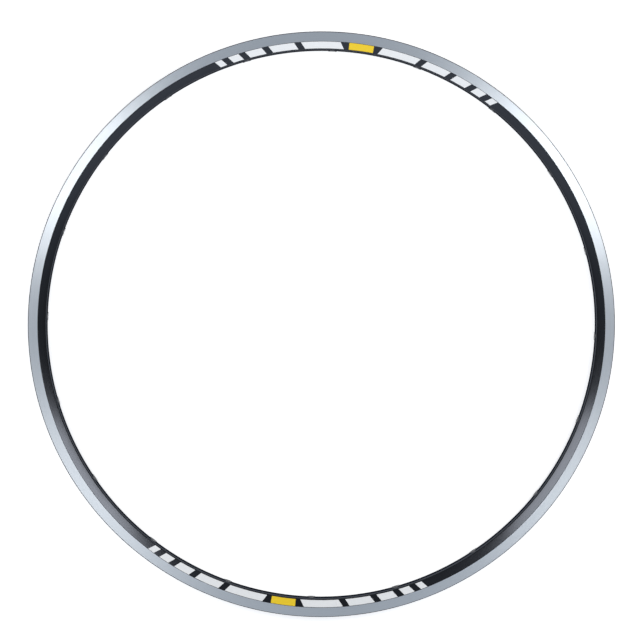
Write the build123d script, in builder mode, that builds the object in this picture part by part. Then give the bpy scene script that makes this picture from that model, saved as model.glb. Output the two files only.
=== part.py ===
from build123d import *
import os
from math import acos, atan2, cos, degrees, radians, sin, sqrt, tan

# A clincher rim for a road bicycle, lying flat. The wheel's axis is +Z, the origin is the wheel's centre
# half way through the rim's width, and the decals are on the upper side. Millimetres and degrees.

# Hoop: the tyre side
bead_seat_diameter = 622.0
flange_height = 6.0
nose_thickness = 2.5
nose_chamfer = 0.8
flange_wall = 1.55
hook_depth = 1.3
seat_width = 2.45
well_width = 10.0
well_depth = 2.6

# Hoop: the outside and the walls of the hollow chamber
rim_width = 22.0
rim_height = 20.6
track_height = 10.4
track_step = 0.4
wall_tilt = 28.0
knee_arc = 4.0
crown_arc = 14.0
bed_wall = 1.1
side_wall = 1.2
crown_wall = 1.8

# Spoke holes and valve hole
spoke_count = 20
spoke_phase = 15.8
access_hole_diameter = 8.5
valve_hole_diameter = 6.5

# Eyelets
eyelet_bore = 4.5
eyelet_wall = 0.45
eyelet_lip_diameter = 9.0
eyelet_lip_height = 0.6
eyelet_overhang = 0.5
eyelet_clearance = 0.02

# Decals: groups of slanted bars on the upper wall, each group mirrored about its yellow field
decal_film = 0.1
decal_clearance = 0.3
decal_groups = 2
decal_phase = 82.0
decal_lean = 30.0
decal_gap = 7.4
yellow_field = 26.4
white_bars = [42.0, 27.4, 18.0, 11.6, 7.4]

# Radii from the wheel's axis and half widths from the rim's middle plane
seat_radius = bead_seat_diameter / 2
tip_radius = seat_radius + flange_height
crown_radius = tip_radius - rim_height
well_radius = seat_radius - well_depth
nose_radius = tip_radius - nose_chamfer
hook_tip_radius = tip_radius - nose_thickness / 2
hook_root_radius = hook_tip_radius - hook_depth
track_root_radius = tip_radius - track_height
wall_top_radius = track_root_radius - track_step

half_width = rim_width / 2
nose_half = half_width - nose_thickness
flange_half = half_width - flange_wall
seat_half = flange_half - seat_width
well_half = well_width / 2
wall_half = half_width - track_step


# The wall slopes in from the track's step, and its knee is an arc tangent to the wall and to the crown's arc
crown_centre_radius = crown_radius + crown_arc
slope_in = cos(radians(wall_tilt))
slope_down = sin(radians(wall_tilt))


def wall_run():
    """Length of the wall from its top to the start of its knee."""
    knee_top_radius = wall_top_radius + knee_arc * slope_down - crown_centre_radius
    knee_top_half = wall_half - knee_arc * slope_in
    square = knee_top_radius**2 + knee_top_half**2
    along = knee_top_radius * slope_in + knee_top_half * slope_down
    return along + sqrt(along**2 - square + (crown_arc - knee_arc) ** 2)


knee_radius = wall_top_radius - wall_run() * slope_in
knee_half = wall_half - wall_run() * slope_down
knee_centre_half = knee_half - knee_arc * slope_in
crown_tilt = degrees(acos(knee_centre_half / (crown_arc - knee_arc)))

# The chamber is bounded by straight strips: its roof runs under the tyre bed and its floor lies on the crown
spoke_seat_radius = eyelet_bore / 2 + eyelet_wall + eyelet_clearance
bed_slope = atan2(well_depth, seat_half - well_half)
bed_shift = bed_wall * tan(bed_slope / 2)
roof_radius = well_radius - bed_wall
roof_half = well_half + bed_shift
shelf_radius = seat_radius - bed_wall
shelf_half = seat_half + bed_shift
chamber_half = wall_half - side_wall
chamber_bend_radius = wall_top_radius + side_wall * tan(radians(wall_tilt) / 2)
floor_radius = crown_radius + crown_wall
floor_half = spoke_seat_radius + side_wall
knee_inside_radius = knee_radius + side_wall * slope_down
knee_inside_half = knee_half - side_wall * slope_in

drill_overrun = well_depth
valve_phase = spoke_phase - 180 / spoke_count

with BuildPart() as rim_hoop:
    with BuildSketch(Plane.XZ):
        with BuildLine():
            Polyline(
                (well_radius, well_half),
                (seat_radius, seat_half),
                (seat_radius, flange_half),
                (hook_root_radius, flange_half),
                (hook_tip_radius, nose_half),
                (nose_radius, nose_half),
                (tip_radius, nose_half + nose_chamfer),
                (tip_radius, half_width - nose_chamfer),
                (nose_radius, half_width),
                (track_root_radius, half_width),
                (wall_top_radius, wall_half),
                (knee_radius, knee_half),
            )
            knee = JernArc((knee_radius, knee_half), (-slope_in, -slope_down), knee_arc, crown_tilt - wall_tilt)
            mirror(about=Plane.XZ)
            Line((well_radius, -well_half), (well_radius, well_half))
            JernArc(knee @ 1, knee % 1, crown_arc, 2 * (90 - crown_tilt))
        make_face()
        with BuildLine():
            Polyline(
                (roof_radius, roof_half),
                (shelf_radius, shelf_half),
                (shelf_radius, chamber_half),
                (chamber_bend_radius, chamber_half),
                (knee_inside_radius, knee_inside_half),
                (floor_radius, floor_half),
            )
            mirror(about=Plane.XZ)
            Line((roof_radius, -roof_half), (roof_radius, roof_half))
            Line((floor_radius, -floor_half), (floor_radius, floor_half))
        make_face(mode=Mode.SUBTRACT)
    revolve(axis=Axis.Z)
    with PolarLocations(crown_radius + crown_wall / 2, spoke_count, spoke_phase):
        Cylinder(
            spoke_seat_radius,
            crown_wall + 2 * drill_overrun,
            rotation=(0, 90, 0),
            mode=Mode.SUBTRACT,
        )
    with PolarLocations(well_radius - bed_wall / 2, spoke_count, spoke_phase):
        Cylinder(
            access_hole_diameter / 2,
            bed_wall + 2 * drill_overrun,
            rotation=(0, 90, 0),
            mode=Mode.SUBTRACT,
        )
    with PolarLocations((crown_radius + well_radius) / 2, 1, valve_phase):
        Cylinder(
            valve_hole_diameter / 2,
            well_radius - crown_radius + 2 * drill_overrun,
            rotation=(0, 90, 0),
            mode=Mode.SUBTRACT,
        )

# Eyelet: a lip that follows the crown's saddle, with a barrel through the crown into the chamber
lip_inner_arc = crown_arc + eyelet_clearance
lip_outer_arc = lip_inner_arc + eyelet_lip_height
barrel_radius = eyelet_bore / 2 + eyelet_wall
eyelet_start_radius = crown_radius - crown_arc
eyelet_end_radius = floor_radius + eyelet_overhang

with BuildPart() as eyelet_seat:
    with BuildSketch(Plane.XZ):
        with Locations((crown_centre_radius, 0)):
            Circle(lip_inner_arc)
    revolve(axis=Axis.Z)
    with BuildSketch(Plane.YZ.offset(eyelet_start_radius)):
        Circle(barrel_radius)
    extrude(amount=2 * crown_arc, mode=Mode.SUBTRACT)

with BuildPart() as eyelet:
    with BuildSketch(Plane.XZ):
        with Locations((crown_centre_radius, 0)):
            Circle(lip_outer_arc)
    revolve(axis=Axis.Z)
    with BuildSketch(Plane.YZ.offset(eyelet_start_radius)):
        Circle(eyelet_lip_diameter / 2)
        Circle(eyelet_bore / 2, mode=Mode.SUBTRACT)
    extrude(amount=eyelet_end_radius - eyelet_start_radius, mode=Mode.INTERSECT)
    add(eyelet_seat.part, mode=Mode.SUBTRACT)

with BuildPart() as spoke_eyelets:
    with PolarLocations(0, spoke_count, spoke_phase):
        add(eyelet.part)

# Decals: bars cut from a film that covers the wall from its top to its knee
film_inner = decal_clearance
film_outer = film_inner + decal_film
wall_height = wall_top_radius - knee_radius
decal_middle_radius = (wall_top_radius + knee_radius) / 2
bar_low_radius = decal_middle_radius - wall_height
bar_high_radius = decal_middle_radius + wall_height


def off_wall(radius, half, distance):
    """A point of the wall moved square off it."""
    return (radius - distance * slope_down, half + distance * slope_in)


def polar_point(radius, angle):
    return (radius * cos(radians(angle)), radius * sin(radians(angle)))


def bar(middle, width, lean):
    """The plan of a bar that leans, at a run along the rim from its group's middle."""
    start_turn = degrees((middle - width / 2) / decal_middle_radius)
    end_turn = degrees((middle + width / 2) / decal_middle_radius)
    lean_run = tan(radians(lean)) * (bar_high_radius - bar_low_radius) / 2
    lean_turn = degrees(lean_run / decal_middle_radius)
    with BuildSketch() as field:
        Polygon(
            polar_point(bar_low_radius, start_turn - lean_turn),
            polar_point(bar_low_radius, end_turn - lean_turn),
            polar_point(bar_high_radius, end_turn + lean_turn),
            polar_point(bar_high_radius, start_turn + lean_turn),
            align=None,
        )
    return field.sketch


with BuildSketch() as white_fields:
    with PolarLocations(0, decal_groups, decal_phase):
        reach = yellow_field / 2
        for width in white_bars:
            middle = reach + decal_gap + width / 2
            add(bar(middle, width, decal_lean))
            add(bar(-middle, width, -decal_lean))
            reach = middle + width / 2

with BuildSketch() as yellow_fields:
    with PolarLocations(0, decal_groups, decal_phase):
        add(bar(0, yellow_field, 0))

with BuildPart() as wall_film:
    with BuildSketch(Plane.XZ):
        Polygon(
            off_wall(wall_top_radius, wall_half, film_inner),
            off_wall(wall_top_radius, wall_half, film_outer),
            off_wall(knee_radius, knee_half, film_outer),
            off_wall(knee_radius, knee_half, film_inner),
            align=None,
        )
    revolve(axis=Axis.Z)

with BuildPart() as white_decals:
    add(wall_film.part)
    add(white_fields.sketch)
    extrude(amount=rim_width, mode=Mode.INTERSECT)

with BuildPart() as yellow_decals:
    add(wall_film.part)
    add(yellow_fields.sketch)
    extrude(amount=rim_width, mode=Mode.INTERSECT)

os.makedirs("parts", exist_ok=True)
rim_hoop.part.label = "rim_hoop"
export_step(rim_hoop.part, "parts/rim_hoop.step")
spoke_eyelets.part.label = "spoke_eyelets"
export_step(spoke_eyelets.part, "parts/spoke_eyelets.step")
white_decals.part.label = "white_decals"
export_step(white_decals.part, "parts/white_decals.step")
yellow_decals.part.label = "yellow_decals"
export_step(yellow_decals.part, "parts/yellow_decals.step")
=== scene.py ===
from math import acos, atan2, cos, pi, radians, sin, sqrt, tan

import bpy
from mathutils import Euler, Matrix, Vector


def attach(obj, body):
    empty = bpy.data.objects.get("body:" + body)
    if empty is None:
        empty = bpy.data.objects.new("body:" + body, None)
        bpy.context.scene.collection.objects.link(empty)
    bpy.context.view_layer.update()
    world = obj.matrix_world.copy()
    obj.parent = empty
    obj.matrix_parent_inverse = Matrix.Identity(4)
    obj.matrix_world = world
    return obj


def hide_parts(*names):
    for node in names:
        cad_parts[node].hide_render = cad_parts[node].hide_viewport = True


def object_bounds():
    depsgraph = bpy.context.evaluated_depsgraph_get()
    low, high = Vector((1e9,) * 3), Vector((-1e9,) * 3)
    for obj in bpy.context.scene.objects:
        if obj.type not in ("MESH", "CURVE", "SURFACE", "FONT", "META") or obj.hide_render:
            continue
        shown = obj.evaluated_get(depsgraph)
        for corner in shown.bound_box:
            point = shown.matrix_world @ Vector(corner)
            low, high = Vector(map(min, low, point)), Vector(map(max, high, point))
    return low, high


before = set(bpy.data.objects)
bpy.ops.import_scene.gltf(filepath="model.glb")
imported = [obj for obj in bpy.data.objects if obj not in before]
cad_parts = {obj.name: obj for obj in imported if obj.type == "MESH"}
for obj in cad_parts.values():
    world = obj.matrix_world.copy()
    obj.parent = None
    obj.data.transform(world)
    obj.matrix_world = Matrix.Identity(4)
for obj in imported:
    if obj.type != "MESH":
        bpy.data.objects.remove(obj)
cad_low, cad_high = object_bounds()

# The rim's sizes are millimetres, as on its drawing, and become metres where a mesh or a pattern is
# made. The stage's sizes are metres.
MM = 0.001

# Hoop: the tyre side of the section
SEAT_RADIUS = 311.0
FLANGE_HEIGHT = 6.0
NOSE_THICKNESS = 2.5
NOSE_CHAMFER = 0.8
FLANGE_WALL = 1.55
HOOK_DEPTH = 1.3
SEAT_WIDTH = 2.45
WELL_WIDTH = 10.0
WELL_DEPTH = 2.6

# Hoop: the outside and the walls of the hollow chamber
RIM_WIDTH = 22.0
RIM_HEIGHT = 20.6
TRACK_HEIGHT = 10.4
TRACK_STEP = 0.4
WALL_TILT = radians(28.0)
KNEE_ARC = 4.0
CROWN_ARC = 14.0
BED_WALL = 1.1
SIDE_WALL = 1.2
CROWN_WALL = 1.8

# Hoop: the small radii of its corners
WELL_ROUNDING = 0.8
SEAT_ROUNDING = 0.5
FLANGE_ROUNDING = 0.6
HOOK_ROUNDING = 0.4
HOOK_EDGE_ROUNDING = 0.25
NOSE_ROUNDING = 0.5

# Holes and eyelets
SPOKE_COUNT = 20
SPOKE_PHASE = radians(15.8)
ACCESS_HOLE_RADIUS = 4.25
VALVE_HOLE_RADIUS = 3.25
EYELET_BORE_RADIUS = 2.25
EYELET_WALL = 0.45
EYELET_LIP_RADIUS = 4.5
EYELET_LIP_HEIGHT = 0.6
EYELET_LIP_ROUNDING = 0.45
EYELET_MOUTH_ROUNDING = 0.55
EYELET_OVERHANG = 0.5
EYELET_CLEARANCE = 0.02

# Decals
DECAL_FILM = 0.1
DECAL_GLUE = 0.03
DECAL_GROUPS = 2
DECAL_PHASE = radians(82.0)
DECAL_LEAN = radians(30.0)
DECAL_GAP = 7.4
YELLOW_FIELD = 26.4
WHITE_BAR_WIDTHS = (42.0, 27.4, 18.0, 11.6, 7.4)

# How finely the curved pieces are divided, and the bend from which an edge is crisp
HOOP_SEGMENTS = 540
ARC_SEGMENTS = 8
CORNER_SEGMENTS = 6
HOLE_SEGMENTS = 48
EYELET_SEGMENTS = 56
FILM_ROWS = 6
FILM_COLUMNS = 24
CRISP_BEND = radians(16.0)

# Radii from the wheel's axis and half widths from the rim's middle plane
TIP_RADIUS = SEAT_RADIUS + FLANGE_HEIGHT
CROWN_RADIUS = TIP_RADIUS - RIM_HEIGHT
WELL_RADIUS = SEAT_RADIUS - WELL_DEPTH
NOSE_RADIUS = TIP_RADIUS - NOSE_CHAMFER
HOOK_TIP_RADIUS = TIP_RADIUS - NOSE_THICKNESS / 2
HOOK_ROOT_RADIUS = HOOK_TIP_RADIUS - HOOK_DEPTH
TRACK_ROOT_RADIUS = TIP_RADIUS - TRACK_HEIGHT
WALL_TOP_RADIUS = TRACK_ROOT_RADIUS - TRACK_STEP
FLOOR_RADIUS = CROWN_RADIUS + CROWN_WALL
ROOF_RADIUS = WELL_RADIUS - BED_WALL
SHELF_RADIUS = SEAT_RADIUS - BED_WALL
HALF_WIDTH = RIM_WIDTH / 2
NOSE_HALF = HALF_WIDTH - NOSE_THICKNESS
FLANGE_HALF = HALF_WIDTH - FLANGE_WALL
SEAT_HALF = FLANGE_HALF - SEAT_WIDTH
WELL_HALF = WELL_WIDTH / 2
WALL_HALF = HALF_WIDTH - TRACK_STEP
CHAMBER_HALF = WALL_HALF - SIDE_WALL
BARREL_RADIUS = EYELET_BORE_RADIUS + EYELET_WALL
SPOKE_SEAT_RADIUS = BARREL_RADIUS + EYELET_CLEARANCE
BARREL_END_RADIUS = FLOOR_RADIUS + EYELET_OVERHANG

# The wall slopes in from the track's step, and its knee is an arc tangent to the wall and to the
# crown's arc
CROWN_CENTRE_RADIUS = CROWN_RADIUS + CROWN_ARC
SLOPE_IN = cos(WALL_TILT)
SLOPE_DOWN = sin(WALL_TILT)


def wall_run():
    """Length of the wall from its top to the start of its knee."""
    knee_top_radius = WALL_TOP_RADIUS + KNEE_ARC * SLOPE_DOWN - CROWN_CENTRE_RADIUS
    knee_top_half = WALL_HALF - KNEE_ARC * SLOPE_IN
    square = knee_top_radius**2 + knee_top_half**2
    along = knee_top_radius * SLOPE_IN + knee_top_half * SLOPE_DOWN
    return along + sqrt(along**2 - square + (CROWN_ARC - KNEE_ARC) ** 2)


WALL_RUN = wall_run()
KNEE_RADIUS = WALL_TOP_RADIUS - WALL_RUN * SLOPE_IN
KNEE_HALF = WALL_HALF - WALL_RUN * SLOPE_DOWN
KNEE_CENTRE_RADIUS = KNEE_RADIUS + KNEE_ARC * SLOPE_DOWN
KNEE_CENTRE_HALF = KNEE_HALF - KNEE_ARC * SLOPE_IN
CROWN_TILT = acos(KNEE_CENTRE_HALF / (CROWN_ARC - KNEE_ARC))
DECAL_MIDDLE_RADIUS = (WALL_TOP_RADIUS + KNEE_RADIUS) / 2
DECAL_MIDDLE_HALF = (WALL_HALF + KNEE_HALF) / 2


def linear(colour):
    """An sRGB hex colour as linear RGBA."""
    channels = [int(colour[k : k + 2], 16) / 255 for k in (1, 3, 5)]
    return (*[c / 12.92 if c <= 0.04045 else ((c + 0.055) / 1.055) ** 2.4 for c in channels], 1.0)


def first_enabled(sockets, name=None):
    """The socket in use among those that share a name, or the first in use of all."""
    return next(s for s in sockets if s.enabled and name in (None, s.name))


def add_node(tree, kind, inputs=None, **settings):
    """Adds a node. Inputs are values, sockets, nodes for their first outputs, or lists of these."""
    made = tree.nodes.new(kind)
    for name, value in settings.items():
        setattr(made, name, value)
    for key, value in (inputs or {}).items():
        target = made.inputs[key] if isinstance(key, int) else first_enabled(made.inputs, key)
        for source in value if isinstance(value, list) else [value]:
            if isinstance(source, bpy.types.Node):
                source = first_enabled(source.outputs)
            if isinstance(source, bpy.types.NodeSocket):
                tree.links.new(source, target)
            else:
                target.default_value = source
    return made


# Materials


def new_material(name):
    """A material with an empty node tree, and the tree."""
    material = bpy.data.materials.new(name)
    material.use_nodes = True
    material.node_tree.nodes.clear()
    return material, material.node_tree


def axis_distance(tree, place):
    """How far a point lies from the wheel's axis, for marks that run round the rim."""
    onto_plane = (1.0, 1.0, 0.0)
    flat = add_node(tree, "ShaderNodeVectorMath", {0: place, 1: onto_plane}, operation="MULTIPLY")
    return add_node(tree, "ShaderNodeVectorMath", {0: flat}, operation="LENGTH").outputs["Value"]


def turned_aluminium():
    """Bare aluminium faced on a lathe: fine rings round the axis fan each light out across them."""
    # The tool's feed of 0.2 mm is drawn as 0.45 mm, so that it shows near to
    feed = 0.45 * MM
    mark_depth = 0.03 * MM
    patch = 40 * MM
    patch_wear = 0.06
    material, tree = new_material("turned_aluminium")
    place = add_node(tree, "ShaderNodeTexCoord").outputs["Object"]
    rings = add_node(
        tree,
        "ShaderNodeTexNoise",
        {"W": axis_distance(tree, place), "Scale": 1 / feed, "Detail": 2.0, "Roughness": 0.6},
        noise_dimensions="1D",
    )
    drift = add_node(
        tree, "ShaderNodeTexNoise", {"Vector": place, "Scale": 1 / patch, "Detail": 2.0}
    )
    sheen = add_node(tree, "ShaderNodeMapRange", {"Value": rings, "To Min": 0.37, "To Max": 0.43})
    worn = add_node(
        tree, "ShaderNodeMath", {0: drift, 1: patch_wear, 2: sheen}, operation="MULTIPLY_ADD"
    )
    tone = add_node(
        tree,
        "ShaderNodeMix",
        {"Factor": rings, "A": linear("#cfd4d8"), "B": linear("#eff4f8")},
        data_type="RGBA",
    )
    marks = add_node(
        tree, "ShaderNodeBump", {"Height": rings, "Strength": 0.3, "Distance": mark_depth}
    )
    shader = add_node(
        tree,
        "ShaderNodeBsdfPrincipled",
        {
            "Base Color": tone,
            "Metallic": 1.0,
            "Roughness": worn,
            "Anisotropic": 0.96,
            "Anisotropic Rotation": 0.25,
            "Normal": marks,
            "Tangent": add_node(tree, "ShaderNodeTangent", direction_type="RADIAL", axis="Z"),
        },
    )
    add_node(tree, "ShaderNodeOutputMaterial", {"Surface": shader})
    return material


def black_anodised():
    """Dyed anodising on drawn, blasted aluminium: a deep satin black with faint lines round it."""
    # The blast's grain of 0.1 mm and the die's fine lines are drawn this coarse to show near to
    blast_grain = 0.3 * MM
    blast_depth = 0.02 * MM
    line_spacing = 0.5 * MM
    dye_cloud = 25 * MM
    cloud_share = 0.35
    material, tree = new_material("black_anodised_aluminium")
    place = add_node(tree, "ShaderNodeTexCoord").outputs["Object"]
    grain = add_node(
        tree,
        "ShaderNodeTexNoise",
        {"Vector": place, "Scale": 1 / blast_grain, "Detail": 3.0, "Roughness": 0.65},
    )
    level = add_node(tree, "ShaderNodeSeparateXYZ", {"Vector": place}).outputs["Z"]
    section = add_node(tree, "ShaderNodeCombineXYZ", {"X": axis_distance(tree, place), "Y": level})
    lines = add_node(
        tree,
        "ShaderNodeTexNoise",
        {"Vector": section, "Scale": 1 / line_spacing, "Detail": 3.0, "Roughness": 0.6},
        noise_dimensions="2D",
    )
    cloud = add_node(
        tree, "ShaderNodeTexNoise", {"Vector": place, "Scale": 1 / dye_cloud, "Detail": 3.0}
    )
    shade = add_node(
        tree, "ShaderNodeMix", {"Factor": cloud_share, "A": lines, "B": cloud}, data_type="FLOAT"
    )
    dye = add_node(
        tree,
        "ShaderNodeMix",
        {"Factor": shade, "A": linear("#36383c"), "B": linear("#4a4c51")},
        data_type="RGBA",
    )
    satin = add_node(
        tree,
        "ShaderNodeMapRange",
        {"Value": grain, "From Min": 0.3, "From Max": 0.7, "To Min": 0.16, "To Max": 0.2},
    )
    bump = add_node(
        tree, "ShaderNodeBump", {"Height": grain, "Strength": 0.05, "Distance": blast_depth}
    )
    shader = add_node(
        tree,
        "ShaderNodeBsdfPrincipled",
        {
            "Base Color": dye,
            "Metallic": 1.0,
            "Roughness": satin,
            "Specular Tint": linear("#7c8085"),
            "Normal": bump,
        },
    )
    add_node(tree, "ShaderNodeOutputMaterial", {"Surface": shader})
    return material


def blackened_steel():
    """Pressed stainless strip, blackened: a dark metal with a soft gleam along its rolled lip."""
    smear_size = 0.8 * MM
    material, tree = new_material("blackened_stainless_steel")
    place = add_node(tree, "ShaderNodeTexCoord").outputs["Object"]
    smear = add_node(
        tree, "ShaderNodeTexNoise", {"Vector": place, "Scale": 1 / smear_size, "Detail": 3.0}
    )
    tone = add_node(
        tree,
        "ShaderNodeMix",
        {"Factor": smear, "A": linear("#4b4c4e"), "B": linear("#646567")},
        data_type="RGBA",
    )
    gleam = add_node(tree, "ShaderNodeMapRange", {"Value": smear, "To Min": 0.26, "To Max": 0.4})
    shader = add_node(
        tree,
        "ShaderNodeBsdfPrincipled",
        {"Base Color": tone, "Metallic": 1.0, "Roughness": gleam},
    )
    add_node(tree, "ShaderNodeOutputMaterial", {"Surface": shader})
    return material


def vinyl_film(name, colour):
    """Cast vinyl film, stuck on metal: an even glossy colour with a faint orange peel."""
    peel_size = 0.9 * MM
    peel_depth = 0.04 * MM
    material, tree = new_material(name)
    place = add_node(tree, "ShaderNodeTexCoord").outputs["Object"]
    peel = add_node(
        tree, "ShaderNodeTexNoise", {"Vector": place, "Scale": 1 / peel_size, "Detail": 2.0}
    )
    gloss = add_node(tree, "ShaderNodeMapRange", {"Value": peel, "To Min": 0.3, "To Max": 0.38})
    bump = add_node(
        tree, "ShaderNodeBump", {"Height": peel, "Strength": 0.08, "Distance": peel_depth}
    )
    shader = add_node(
        tree,
        "ShaderNodeBsdfPrincipled",
        {"Base Color": linear(colour), "Roughness": gloss, "IOR": 1.47, "Normal": bump},
    )
    add_node(tree, "ShaderNodeOutputMaterial", {"Surface": shader})
    return material


def white_paper():
    """Matt white paper: it glows a little for the rays that look at it, and takes a shadow."""
    paper_glow = 0.65
    material, tree = new_material("white_paper")
    path = add_node(tree, "ShaderNodeLightPath").outputs
    straight = add_node(
        tree,
        "ShaderNodeMath",
        {0: path["Is Camera Ray"], 1: path["Is Glossy Ray"]},
        operation="MAXIMUM",
    )
    seen = add_node(
        tree, "ShaderNodeMath", {0: straight, 1: path["Is Transmission Ray"]}, operation="MAXIMUM"
    )
    glow = add_node(tree, "ShaderNodeMath", {0: seen, 1: paper_glow}, operation="MULTIPLY")
    shader = add_node(
        tree,
        "ShaderNodeBsdfPrincipled",
        {
            "Base Color": linear("#e6e6e6"),
            "Roughness": 0.9,
            "Specular IOR Level": 0.0,
            "Emission Color": linear("#ffffff"),
            "Emission Strength": glow,
        },
    )
    add_node(tree, "ShaderNodeOutputMaterial", {"Surface": shader})
    return material


# Sections


def rounded(corners):
    """Points of an open outline of (x, y, rounding) corners, each rounding drawn as an arc."""
    points = []
    for k, (x, y, rounding) in enumerate(corners):
        if not rounding:
            points.append((x, y))
            continue
        (x0, y0, _), (x1, y1, _) = corners[k - 1], corners[k + 1]
        into, out = atan2(y - y0, x - x0), atan2(y1 - y, x1 - x)
        turn = (out - into + pi) % (2 * pi) - pi
        reach = rounding if turn > 0 else -rounding
        back = rounding * tan(abs(turn) / 2)
        centre_x = x - back * cos(into) - reach * sin(into)
        centre_y = y - back * sin(into) + reach * cos(into)
        for step in range(CORNER_SEGMENTS + 1):
            angle = into + turn * step / CORNER_SEGMENTS
            points.append((centre_x + reach * sin(angle), centre_y - reach * cos(angle)))
    return points


def arc_points(centre_radius, centre_half, arc, start, end):
    """Points along an arc of the wall, by its normal's tilt from the wheel's axis."""
    tilts = [start + (end - start) * k / ARC_SEGMENTS for k in range(ARC_SEGMENTS + 1)]
    return [(centre_radius - arc * sin(t), centre_half + arc * cos(t)) for t in tilts]


def closed_section(upper):
    """The upper half of a section, from middle plane to middle plane, with its mirror image."""
    return upper + [(x, -y) for x, y in reversed(upper[1:-1])]


def hoop_outline():
    """The hoop's outside with its small radii: well, seats, hooks, noses, tracks, walls, crown."""
    tyre_side = rounded(
        [
            (WELL_RADIUS, 0.0, 0.0),
            (WELL_RADIUS, WELL_HALF, WELL_ROUNDING),
            (SEAT_RADIUS, SEAT_HALF, SEAT_ROUNDING),
            (SEAT_RADIUS, FLANGE_HALF, FLANGE_ROUNDING),
            (HOOK_ROOT_RADIUS, FLANGE_HALF, HOOK_ROUNDING),
            (HOOK_TIP_RADIUS, NOSE_HALF, HOOK_EDGE_ROUNDING),
            (NOSE_RADIUS, NOSE_HALF, HOOK_EDGE_ROUNDING),
            (TIP_RADIUS, NOSE_HALF + NOSE_CHAMFER, NOSE_ROUNDING),
            (TIP_RADIUS, HALF_WIDTH - NOSE_CHAMFER, NOSE_ROUNDING),
            (NOSE_RADIUS, HALF_WIDTH, 0.0),
            (TRACK_ROOT_RADIUS, HALF_WIDTH, 0.0),
            (WALL_TOP_RADIUS, WALL_HALF, 0.0),
        ]
    )
    knee = arc_points(KNEE_CENTRE_RADIUS, KNEE_CENTRE_HALF, KNEE_ARC, WALL_TILT, CROWN_TILT)
    crown = arc_points(CROWN_CENTRE_RADIUS, 0.0, CROWN_ARC, CROWN_TILT, pi / 2)
    return closed_section(tyre_side + knee + crown[1:])


def chamber_outline():
    """The hollow inside the hoop, turned the other way round so that its walls face into it."""
    bed_shift = BED_WALL * tan(atan2(WELL_DEPTH, SEAT_HALF - WELL_HALF) / 2)
    upper = [
        (ROOF_RADIUS, 0.0),
        (ROOF_RADIUS, WELL_HALF + bed_shift),
        (SHELF_RADIUS, SEAT_HALF + bed_shift),
        (SHELF_RADIUS, CHAMBER_HALF),
        (WALL_TOP_RADIUS + SIDE_WALL * tan(WALL_TILT / 2), CHAMBER_HALF),
        (KNEE_RADIUS + SIDE_WALL * SLOPE_DOWN, KNEE_HALF - SIDE_WALL * SLOPE_IN),
        (FLOOR_RADIUS, SPOKE_SEAT_RADIUS + SIDE_WALL),
        (FLOOR_RADIUS, 0.0),
    ]
    return closed_section(upper)[::-1]


def eyelet_outline():
    """An eyelet's lip and barrel, as (distance from the spoke's axis, height off the crown)."""
    barrel_end = CROWN_RADIUS - BARREL_END_RADIUS
    return rounded(
        [
            (BARREL_RADIUS, barrel_end, 0.0),
            (BARREL_RADIUS, 0.0, 0.0),
            (EYELET_LIP_RADIUS, 0.0, 0.0),
            (EYELET_LIP_RADIUS, EYELET_LIP_HEIGHT, EYELET_LIP_ROUNDING),
            (EYELET_BORE_RADIUS, EYELET_LIP_HEIGHT, EYELET_MOUTH_ROUNDING),
            (EYELET_BORE_RADIUS, barrel_end, 0.0),
        ]
    )


# Source meshes for the node trees


def section_mesh(name, outlines, ring_radius):
    """Closed outlines of (radius, half width), set out from a ring, as edges to sweep round it."""
    points, edges = [], []
    for outline in outlines:
        first = len(points)
        # Y is turned over so that the swept faces point out of the aluminium
        points += [((x - ring_radius) * MM, -y * MM, 0.0) for x, y in outline]
        edges += [(first + k, first + (k + 1) % len(outline)) for k in range(len(outline))]
    mesh = bpy.data.meshes.new(name)
    mesh.from_pydata(points, edges, [])
    return mesh


def eyelet_mesh():
    """One eyelet on +X: its section round the spoke's axis, with a lip that follows the crown."""
    outline = eyelet_outline()
    depth = -min(height for _, height in outline)
    points = []
    for step in range(EYELET_SEGMENTS):
        turn = 2 * pi * step / EYELET_SEGMENTS
        for out, height in outline:
            along, across = out * cos(turn), out * sin(turn)
            lip_arc = CROWN_ARC + EYELET_CLEARANCE + max(height, 0.0)
            distance = CROWN_CENTRE_RADIUS - sqrt(lip_arc**2 - across**2)
            saddle = sqrt(distance**2 - along**2)
            sunk = max(-height, 0.0) / depth
            reach = saddle + (BARREL_END_RADIUS - saddle) * sunk
            points.append((reach * MM, along * MM, across * MM))
    count = len(outline)
    faces = []
    for step in range(EYELET_SEGMENTS):
        here, there = step * count, (step + 1) % EYELET_SEGMENTS * count
        for k in range(count):
            after = (k + 1) % count
            faces.append((here + k, there + k, there + after, here + after))
    mesh = bpy.data.meshes.new("eyelet")
    mesh.from_pydata(points, [], faces)
    return mesh


def bar_plan(name, bars):
    """One point for each bar in every group, with the bar's middle, width and lean as angles."""
    turns = []
    for group in range(DECAL_GROUPS):
        phase = DECAL_PHASE + 2 * pi * group / DECAL_GROUPS
        for middle, width, lean in bars:
            turns.append((phase + middle / DECAL_MIDDLE_RADIUS, width / DECAL_MIDDLE_RADIUS, lean))
    mesh = bpy.data.meshes.new(name)
    mesh.from_pydata([(0.0, 0.0, 0.0)] * len(turns), [], [])
    for column, label in enumerate(("middle", "width", "lean")):
        values = mesh.attributes.new(label, "FLOAT", "POINT")
        values.data.foreach_set("value", [turn[column] for turn in turns])
    return mesh


def white_bars():
    """Slanted bars that narrow away from the yellow field, both ways, as (middle, width, lean)."""
    bars = []
    reach = YELLOW_FIELD / 2
    for width in WHITE_BAR_WIDTHS:
        middle = reach + DECAL_GAP + width / 2
        bars += [(middle, width, DECAL_LEAN), (-middle, width, -DECAL_LEAN)]
        reach = middle + width / 2
    return bars


# Geometry Nodes


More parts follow.
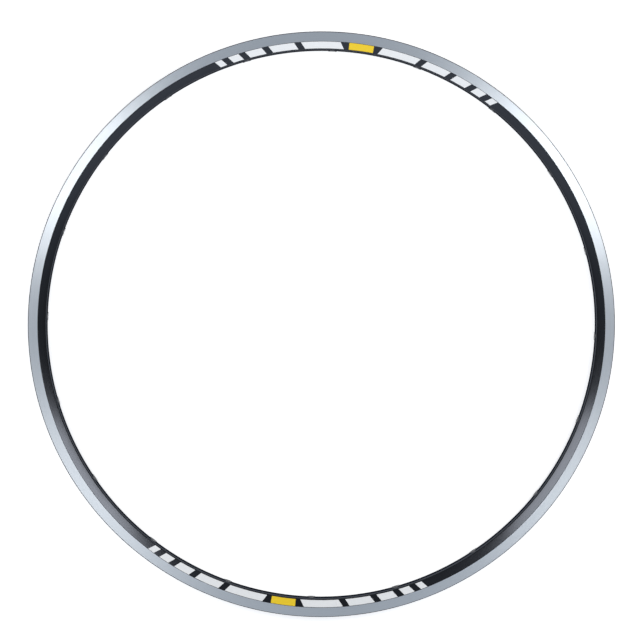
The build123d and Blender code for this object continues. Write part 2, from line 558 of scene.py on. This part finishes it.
def new_tree(name, inputs):
    """A tree that takes geometry and named inputs of given socket types, and its input sockets."""
    tree = bpy.data.node_groups.new(name, "GeometryNodeTree")
    tree.interface.new_socket("Geometry", in_out="INPUT", socket_type="NodeSocketGeometry")
    for label, kind in inputs.items():
        tree.interface.new_socket(label, in_out="INPUT", socket_type="NodeSocket" + kind)
    tree.interface.new_socket("Geometry", in_out="OUTPUT", socket_type="NodeSocketGeometry")
    return tree, add_node(tree, "NodeGroupInput").outputs


def made_piece(name, mesh, tree, values):
    """The tree's result on a mesh, as a plain mesh object."""
    source = bpy.data.objects.new(name + "_source", mesh)
    bpy.context.scene.collection.objects.link(source)
    modifier = source.modifiers.new("shape", "NODES")
    modifier.node_group = tree
    for item in tree.interface.items_tree:
        if item.in_out == "INPUT" and item.name in values:
            modifier[item.identifier] = values[item.name]
    bpy.context.view_layer.update()
    depsgraph = bpy.context.evaluated_depsgraph_get()
    result = bpy.data.meshes.new_from_object(
        source.evaluated_get(depsgraph), preserve_all_data_layers=True, depsgraph=depsgraph
    )
    source.modifiers.clear()
    bpy.data.objects.remove(source)
    result.name = name
    piece = bpy.data.objects.new(name, result)
    bpy.context.scene.collection.objects.link(piece)
    return piece


def dress(piece, node):
    """Puts a piece on the rim's body in place of a solid, which it hides."""
    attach(piece, "root")
    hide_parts(node)


def shade_by_angle(tree, geometry):
    """Smooth faces, with each edge that bends sharply kept crisp."""
    smooth = add_node(
        tree, "GeometryNodeSetShadeSmooth", {"Geometry": geometry, "Shade Smooth": True}
    )
    bend = add_node(tree, "GeometryNodeInputMeshEdgeAngle")
    crisp = add_node(
        tree,
        "FunctionNodeCompare",
        {"A": bend, "B": CRISP_BEND},
        data_type="FLOAT",
        operation="GREATER_THAN",
    )
    return add_node(
        tree,
        "GeometryNodeSetShadeSmooth",
        {"Geometry": smooth, "Selection": crisp, "Shade Smooth": False},
        domain="EDGE",
    )


def round_the_rim(tree, instance, count, phase):
    """Copies of a thing that stands on +X, evenly round the wheel's axis from a phase."""
    points = add_node(tree, "GeometryNodePoints", {"Count": count})
    index = add_node(tree, "GeometryNodeInputIndex")
    step = add_node(tree, "ShaderNodeMath", {0: 2 * pi, 1: count}, operation="DIVIDE")
    angle = add_node(
        tree, "ShaderNodeMath", {0: index, 1: step, 2: phase}, operation="MULTIPLY_ADD"
    )
    turn = add_node(tree, "ShaderNodeCombineXYZ", {"Z": angle})
    placed = add_node(
        tree,
        "GeometryNodeInstanceOnPoints",
        {"Points": points, "Instance": instance, "Rotation": turn},
    )
    return add_node(tree, "GeometryNodeRealizeInstances", {"Geometry": placed})


def drill(tree, radius, bottom, top):
    """A cylinder along +X between two distances from the axis, and a well's depth past each."""
    length = top - bottom + 2 * WELL_DEPTH
    middle = (top + bottom) / 2
    shaft = add_node(
        tree,
        "GeometryNodeMeshCylinder",
        {"Vertices": HOLE_SEGMENTS, "Radius": radius * MM, "Depth": length * MM},
    )
    return add_node(
        tree,
        "GeometryNodeTransform",
        {
            "Geometry": shaft,
            "Translation": (middle * MM, 0.0, 0.0),
            "Rotation": (0.0, pi / 2, 0.0),
        },
    )


def hoop_tree():
    """Sweeps the section round the axis, drills it, and gives tracks and walls their finishes."""
    tree, given = new_tree(
        "rim_hoop",
        {
            "Segments": "Int",
            "Ring Radius": "Float",
            "Spokes": "Int",
            "Spoke Phase": "Float",
            "Valve Phase": "Float",
            "Track Plane": "Float",
            "Track Finish": "Material",
            "Wall Finish": "Material",
        },
    )
    section = add_node(tree, "GeometryNodeMeshToCurve", {"Mesh": given["Geometry"]})
    ring = add_node(
        tree,
        "GeometryNodeCurvePrimitiveCircle",
        {"Resolution": given["Segments"], "Radius": given["Ring Radius"]},
        mode="RADIUS",
    )
    upright = add_node(tree, "GeometryNodeSetCurveNormal", {"Curve": ring}, mode="Z_UP")
    swept = add_node(
        tree, "GeometryNodeCurveToMesh", {"Curve": upright, "Profile Curve": section}
    )
    seats = drill(tree, SPOKE_SEAT_RADIUS, CROWN_RADIUS, FLOOR_RADIUS)
    access = drill(tree, ACCESS_HOLE_RADIUS, ROOF_RADIUS, WELL_RADIUS)
    valve = drill(tree, VALVE_HOLE_RADIUS, CROWN_RADIUS, WELL_RADIUS)
    holes = [
        round_the_rim(tree, seats, given["Spokes"], given["Spoke Phase"]),
        round_the_rim(tree, access, given["Spokes"], given["Spoke Phase"]),
        round_the_rim(tree, valve, 1, given["Valve Phase"]),
    ]
    drilled = add_node(
        tree,
        "GeometryNodeMeshBoolean",
        {"Mesh 1": swept, "Mesh 2": holes},
        operation="DIFFERENCE",
        solver="MANIFOLD",
    )
    whole = add_node(tree, "GeometryNodeRealizeInstances", {"Geometry": drilled})
    shaded = shade_by_angle(tree, whole)
    black = add_node(
        tree, "GeometryNodeSetMaterial", {"Geometry": shaded, "Material": given["Wall Finish"]}
    )
    place = add_node(tree, "GeometryNodeInputPosition")
    level = add_node(tree, "ShaderNodeSeparateXYZ", {"Vector": place}).outputs["Z"]
    height = add_node(tree, "ShaderNodeMath", {0: level}, operation="ABSOLUTE")
    on_track = add_node(
        tree,
        "FunctionNodeCompare",
        {"A": height, "B": given["Track Plane"]},
        data_type="FLOAT",
        operation="GREATER_THAN",
    )
    bright = add_node(
        tree,
        "GeometryNodeSetMaterial",
        {"Geometry": black, "Selection": on_track, "Material": given["Track Finish"]},
    )
    add_node(tree, "NodeGroupOutput", {"Geometry": bright})
    return tree


def eyelet_tree():
    """Sets one eyelet in every spoke hole."""
    tree, given = new_tree(
        "spoke_eyelets",
        {"Spokes": "Int", "Spoke Phase": "Float", "Finish": "Material"},
    )
    placed = round_the_rim(tree, given["Geometry"], given["Spokes"], given["Spoke Phase"])
    shaded = shade_by_angle(tree, placed)
    finished = add_node(
        tree, "GeometryNodeSetMaterial", {"Geometry": shaded, "Material": given["Finish"]}
    )
    add_node(tree, "NodeGroupOutput", {"Geometry": finished})
    return tree


def decal_tree():
    """Lays a film on the wall for each point of a plan, as the bar that the point describes."""
    tree, given = new_tree(
        "decals",
        {
            "Columns": "Int",
            "Rows": "Int",
            "Wall Run": "Float",
            "Wall Tilt": "Float",
            "Wall Middle": "Vector",
            "Glue": "Float",
            "Film": "Float",
            "Finish": "Material",
        },
    )
    sheet = add_node(
        tree,
        "GeometryNodeMeshCube",
        {"Vertices X": given["Columns"], "Vertices Y": given["Rows"], "Vertices Z": 2},
    )
    placed = add_node(
        tree, "GeometryNodeInstanceOnPoints", {"Points": given["Geometry"], "Instance": sheet}
    )
    bars = add_node(tree, "GeometryNodeRealizeInstances", {"Geometry": placed})
    place = add_node(tree, "GeometryNodeInputPosition")
    along, up, out = add_node(tree, "ShaderNodeSeparateXYZ", {"Vector": place}).outputs
    middle, width, lean = [
        add_node(tree, "GeometryNodeInputNamedAttribute", {"Name": label}, data_type="FLOAT")
        for label in ("middle", "width", "lean")
    ]
    # The sheet runs up the wall's slope and stands off it by its glue, and is then tilted and moved
    # to its place
    slope = add_node(tree, "ShaderNodeMath", {0: up, 1: given["Wall Run"]}, operation="MULTIPLY")
    layer = add_node(tree, "ShaderNodeMath", {0: out, 1: 0.5}, operation="ADD")
    off = add_node(
        tree,
        "ShaderNodeMath",
        {0: layer, 1: given["Film"], 2: given["Glue"]},
        operation="MULTIPLY_ADD",
    )
    upright = add_node(tree, "ShaderNodeCombineXYZ", {"X": slope, "Z": off})
    back = add_node(tree, "ShaderNodeMath", {0: given["Wall Tilt"], 1: -1.0}, operation="MULTIPLY")
    tilted = add_node(
        tree, "ShaderNodeVectorRotate", {"Vector": upright, "Angle": back}, rotation_type="Y_AXIS"
    )
    on_wall = add_node(
        tree, "ShaderNodeVectorMath", {0: tilted, 1: given["Wall Middle"]}, operation="ADD"
    )
    # Each bar's angle round the axis grows with the height on the wall, by the bar's lean
    rise = add_node(tree, "ShaderNodeSeparateXYZ", {"Vector": tilted}).outputs["X"]
    radius = add_node(tree, "ShaderNodeSeparateXYZ", {"Vector": given["Wall Middle"]}).outputs["X"]
    slant = add_node(tree, "ShaderNodeMath", {0: lean}, operation="TANGENT")
    run = add_node(tree, "ShaderNodeMath", {0: rise, 1: slant}, operation="MULTIPLY")
    drift = add_node(tree, "ShaderNodeMath", {0: run, 1: radius}, operation="DIVIDE")
    bent = add_node(
        tree, "ShaderNodeMath", {0: along, 1: width, 2: drift}, operation="MULTIPLY_ADD"
    )
    angle = add_node(tree, "ShaderNodeMath", {0: bent, 1: middle}, operation="ADD")
    turned = add_node(
        tree, "ShaderNodeVectorRotate", {"Vector": on_wall, "Angle": angle}, rotation_type="Z_AXIS"
    )
    laid = add_node(tree, "GeometryNodeSetPosition", {"Geometry": bars, "Position": turned})
    shaded = shade_by_angle(tree, laid)
    finished = add_node(
        tree, "GeometryNodeSetMaterial", {"Geometry": shaded, "Material": given["Finish"]}
    )
    add_node(tree, "NodeGroupOutput", {"Geometry": finished})
    return tree


# Pieces


def rim_hoop():
    """The drilled hoop, whose faces on the outermost planes are the bright tracks."""
    mesh = section_mesh("rim_section", [hoop_outline(), chamber_outline()], SEAT_RADIUS)
    values = {
        "Segments": HOOP_SEGMENTS,
        "Ring Radius": SEAT_RADIUS * MM,
        "Spokes": SPOKE_COUNT,
        "Spoke Phase": SPOKE_PHASE,
        "Valve Phase": SPOKE_PHASE - pi / SPOKE_COUNT,
        "Track Plane": (HALF_WIDTH - TRACK_STEP / 4) * MM,
        "Track Finish": turned_aluminium(),
        "Wall Finish": black_anodised(),
    }
    dress(made_piece("drilled_hoop", mesh, hoop_tree(), values), "rim_hoop")


def spoke_eyelets():
    """The eyelets pressed into the spoke holes."""
    values = {"Spokes": SPOKE_COUNT, "Spoke Phase": SPOKE_PHASE, "Finish": blackened_steel()}
    eyelets = made_piece("pressed_eyelets", eyelet_mesh(), eyelet_tree(), values)
    dress(eyelets, "spoke_eyelets")


def decals():
    """The white bars and the yellow fields on the upper wall."""
    tree = decal_tree()
    sizes = {
        "Columns": FILM_COLUMNS,
        "Rows": FILM_ROWS,
        "Wall Run": WALL_RUN * MM,
        "Wall Tilt": WALL_TILT,
        "Wall Middle": (DECAL_MIDDLE_RADIUS * MM, 0.0, DECAL_MIDDLE_HALF * MM),
        "Glue": DECAL_GLUE * MM,
        "Film": DECAL_FILM * MM,
    }
    white = sizes | {"Finish": vinyl_film("white_vinyl", "#f9f9f8")}
    yellow = sizes | {"Finish": vinyl_film("yellow_vinyl", "#ffd825")}
    white_plan = bar_plan("white_plan", white_bars())
    yellow_plan = bar_plan("yellow_plan", [(0.0, YELLOW_FIELD, 0.0)])
    dress(made_piece("white_bars", white_plan, tree, white), "white_decals")
    dress(made_piece("yellow_fields", yellow_plan, tree, yellow), "yellow_decals")


rim_hoop()
spoke_eyelets()
decals()


# Stage: a white sweep of paper as (reach, rise), a room, two soft boxes and the camera
SWEEP_PROFILE = [(30.0, 0.0), (34.0, 0.3), (37.0, 1.3), (39.0, 3.2), (40.0, 6.5)]
SWEEP_SIDES = 96
BRIGHT_SIDE = (0.0, -0.905, 0.426)
BOX_DISTANCE = 1.8
BOX_WIDTH = 0.66
BOX_HEIGHT = 0.8


def white_sweep():
    """A wide pale floor that turns up far away: white behind the rim, with its soft shadow."""
    points, faces = [], [tuple(range(SWEEP_SIDES))]
    for reach, rise in SWEEP_PROFILE:
        for step in range(SWEEP_SIDES):
            turn = 2 * pi * step / SWEEP_SIDES
            points.append((reach * cos(turn), reach * sin(turn), cad_low.z + rise))
    for ring in range(len(SWEEP_PROFILE) - 1):
        first = ring * SWEEP_SIDES
        for step in range(SWEEP_SIDES):
            here, there = first + step, first + (step + 1) % SWEEP_SIDES
            faces.append((here, here + SWEEP_SIDES, there + SWEEP_SIDES, there))
    mesh = bpy.data.meshes.new("sweep")
    mesh.from_pydata(points, [], faces)
    mesh.shade_smooth()
    mesh.materials.append(white_paper())
    sweep = bpy.data.objects.new("sweep", mesh)
    bpy.context.scene.collection.objects.link(sweep)


def soft_box(name, azimuth, off_axis, power):
    """A lamp that looks at the rim's middle, from an azimuth and an angle off the wheel's axis."""
    lamp = bpy.data.lights.new(name, "AREA")
    lamp.shape = "RECTANGLE"
    lamp.size = BOX_WIDTH
    lamp.size_y = BOX_HEIGHT
    lamp.energy = power
    holder = bpy.data.objects.new(name, lamp)
    towards = Vector((sin(off_axis) * cos(azimuth), sin(off_axis) * sin(azimuth), cos(off_axis)))
    holder.location = towards * BOX_DISTANCE
    holder.rotation_euler = towards.to_track_quat("Z", "Y").to_euler()
    bpy.context.scene.collection.objects.link(holder)


def studio():
    """A bluish room, brightest low towards -Y and dark at its sides, with two soft boxes."""
    scene = bpy.context.scene
    world = bpy.data.worlds.new("studio")
    world.use_nodes = True
    tree = world.node_tree
    tree.nodes.clear()
    towards = add_node(tree, "ShaderNodeTexCoord").outputs["Generated"]
    facing = add_node(
        tree, "ShaderNodeVectorMath", {0: towards, 1: BRIGHT_SIDE}, operation="DOT_PRODUCT"
    ).outputs["Value"]
    level = add_node(
        tree,
        "ShaderNodeMapRange",
        {"Value": facing, "From Min": 0.24, "From Max": 0.66, "To Min": 0.42, "To Max": 1.3},
    )
    # Dark flags at the left and right keep the rim's walls black there
    sideways = add_node(tree, "ShaderNodeSeparateXYZ", {"Vector": towards}).outputs["X"]
    aside = add_node(tree, "ShaderNodeMath", {0: sideways}, operation="ABSOLUTE")
    flags = add_node(
        tree,
        "ShaderNodeMapRange",
        {"Value": aside, "From Min": 0.65, "From Max": 0.8, "To Min": 1.0, "To Max": 0.5},
    )
    flagged = add_node(tree, "ShaderNodeMath", {0: level, 1: flags}, operation="MULTIPLY")
    room = add_node(tree, "ShaderNodeBackground", {"Color": linear("#bcc3cd"), "Strength": flagged})
    add_node(tree, "ShaderNodeOutputWorld", {"Surface": room})
    scene.world = world
    scene.view_settings.view_transform = "Standard"
    soft_box("right_soft_box", azimuth=radians(26.5), off_axis=radians(33.5), power=10.3)
    soft_box("left_soft_box", azimuth=radians(152.8), off_axis=radians(34.0), power=8.9)


def camera():
    """Nearly square on to the rim, from a little towards +Y and -X, a few metres away."""
    turn = Euler((radians(-4.1), radians(-1.2), 0.0))
    distance = 2.8
    aim = Vector((-0.0020, 0.0064, 0.0))
    image_width = 640
    focal_pixels = 2584.8
    lens = bpy.data.cameras.new("camera")
    lens.sensor_width = 36.0
    lens.lens = focal_pixels * lens.sensor_width / image_width
    lens.clip_end = 200.0
    holder = bpy.data.objects.new("camera", lens)
    holder.location = aim + turn.to_matrix() @ Vector((0.0, 0.0, distance))
    holder.rotation_euler = turn
    bpy.context.scene.collection.objects.link(holder)
    bpy.context.scene.camera = holder


white_sweep()
studio()
camera()
